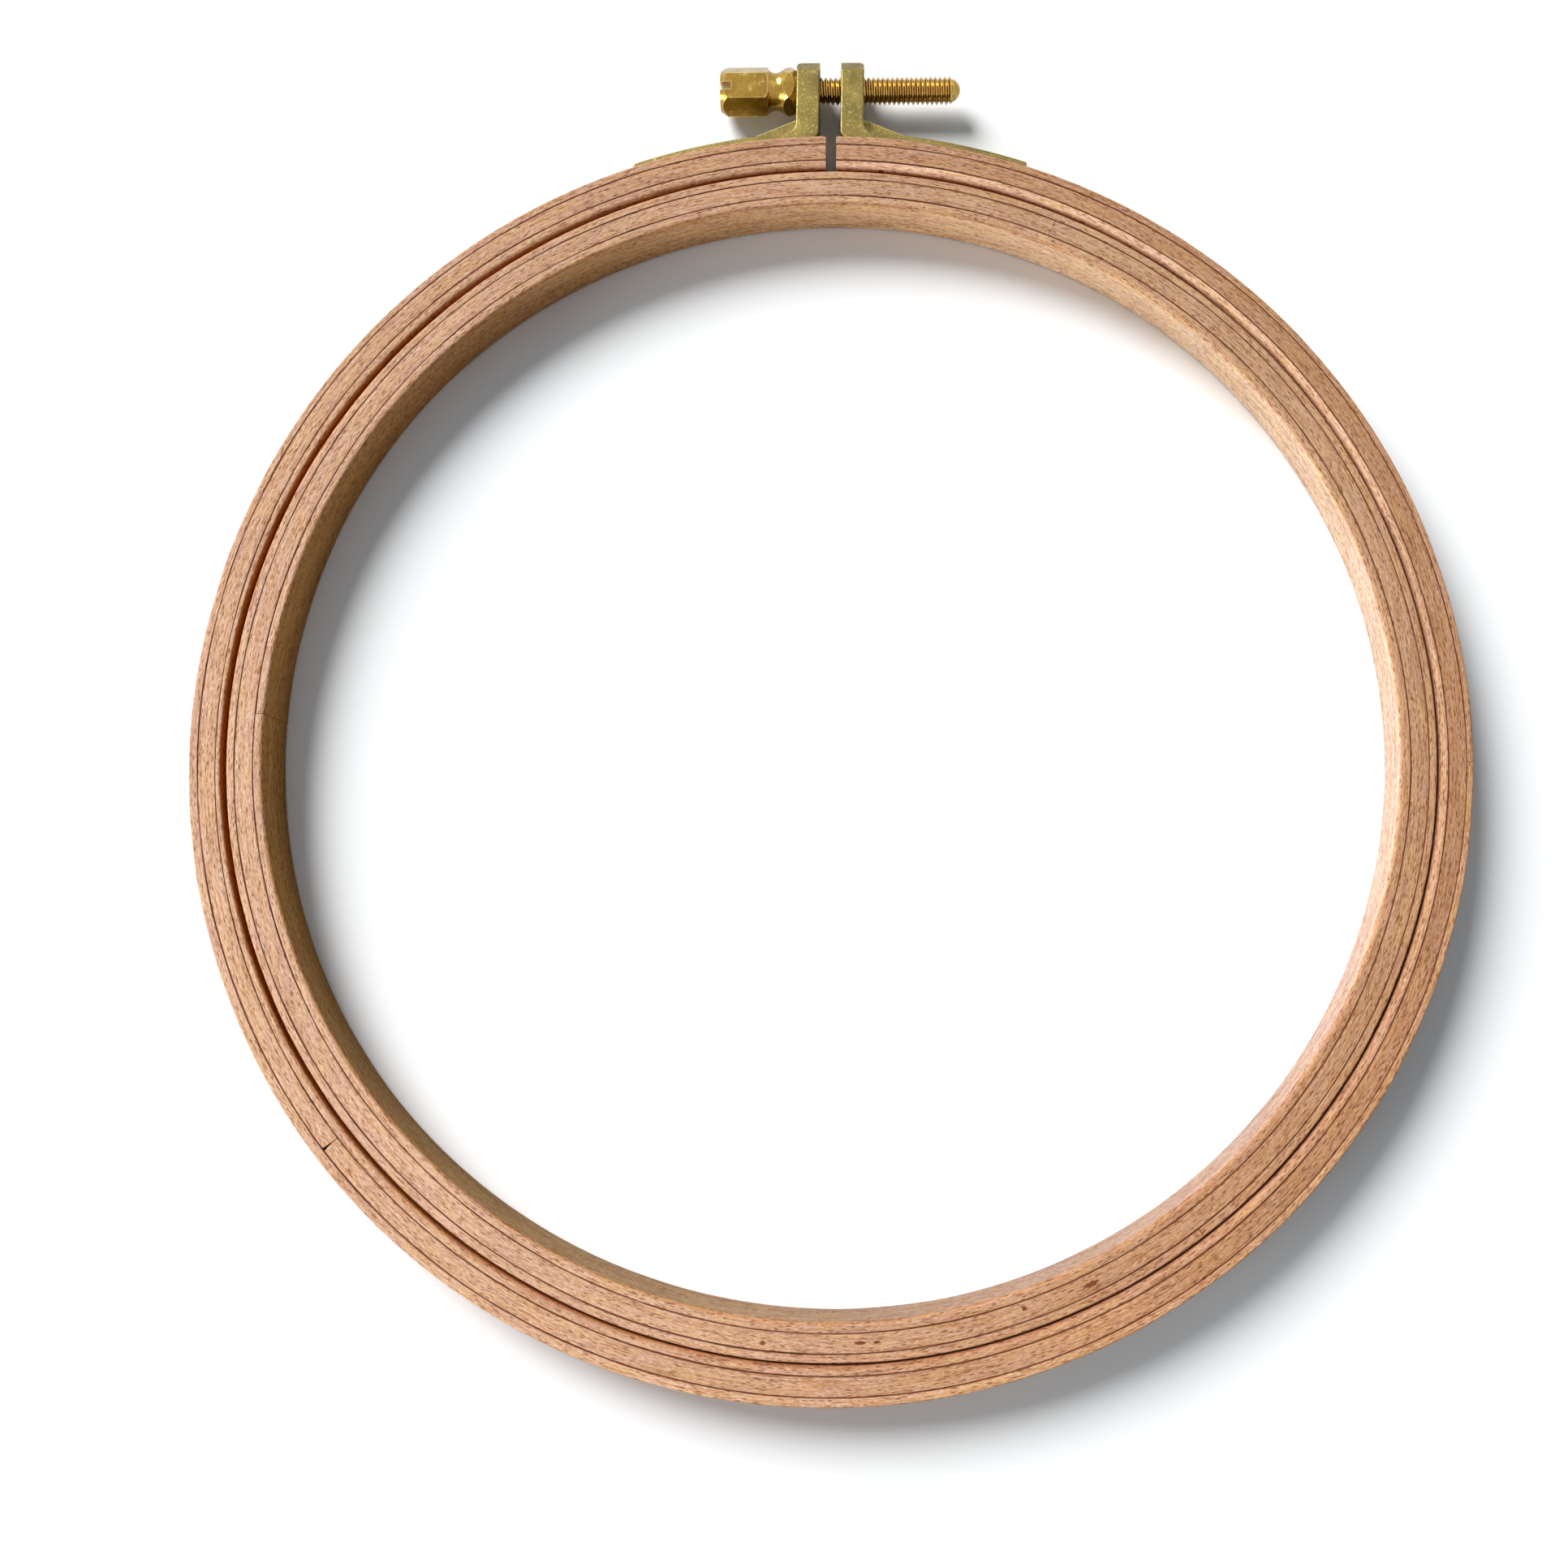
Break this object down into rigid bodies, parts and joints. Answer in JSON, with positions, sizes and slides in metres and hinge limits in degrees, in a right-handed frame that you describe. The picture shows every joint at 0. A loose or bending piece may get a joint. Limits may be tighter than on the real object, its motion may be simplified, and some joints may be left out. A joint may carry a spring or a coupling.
{
  "type": "embroidery hoop",
  "caption": "Round wooden embroidery hoop: a closed inner ring inside a split outer ring, drawn together by a brass clamp screw through two bracket ears.",
  "frame": {"origin": "centre of the inner ring's opening, half way up the rings", "axes": "+Z runs through the rings towards the face seen in the picture, +Y points at the clamp, +X is to the right of the clamp seen from +Z"},
  "size_m": [0.1761, 0.1889, 0.008],
  "materials": {
    "beech": "sanded, unvarnished",
    "bracket_brass": "blasted, matte",
    "screw_brass": "turned, bright",
    "pin_brass": "drawn wire, satin"
  },
  "bodies": {
    "right_half": {"outer_ring_lining_lower_right": "beech", "outer_ring_lining_upper_right": "beech", "outer_ring_core_right": "beech", "outer_ring_facing_lower_right": "beech", "outer_ring_facing_upper_right": "beech", "bracket_right": "bracket_brass", "pins_right": "pin_brass"},
    "left_half": {"outer_ring_lining_left": "beech", "outer_ring_core_upper_left": "beech", "outer_ring_core_lower_left": "beech", "outer_ring_facing_left": "beech", "bracket_left": "bracket_brass", "pins_left": "pin_brass"},
    "clamp_screw": {"clamp_screw": "screw_brass"},
    "inner_ring": {"inner_ring_lining": "beech", "inner_ring_core": "beech", "inner_ring_facing": "beech"}
  },
  "joints": [
    {"name": "screw_turn", "type": "hinge", "parent": "left_half", "child": "clamp_screw", "pos_m": [-0.00025, 0.0975, 0], "axis": [-1, 0, 0], "range_deg": [-720, 2520]},
    {"name": "ring_flex", "type": "hinge", "parent": "right_half", "child": "left_half", "pos_m": [-0.00025, -0.08565, 0], "axis": [0, 0, 1], "range_deg": [-0.44, 1.53]},
    {"name": "inner_ring_lift", "type": "slide", "parent": "right_half", "child": "inner_ring", "axis": [0, 0, 1], "range_m": [0, 0.02]}
  ],
  "couplings": [
    {"joint": "screw_turn", "follows": "ring_flex", "ratio": 1643.9}
  ]
}
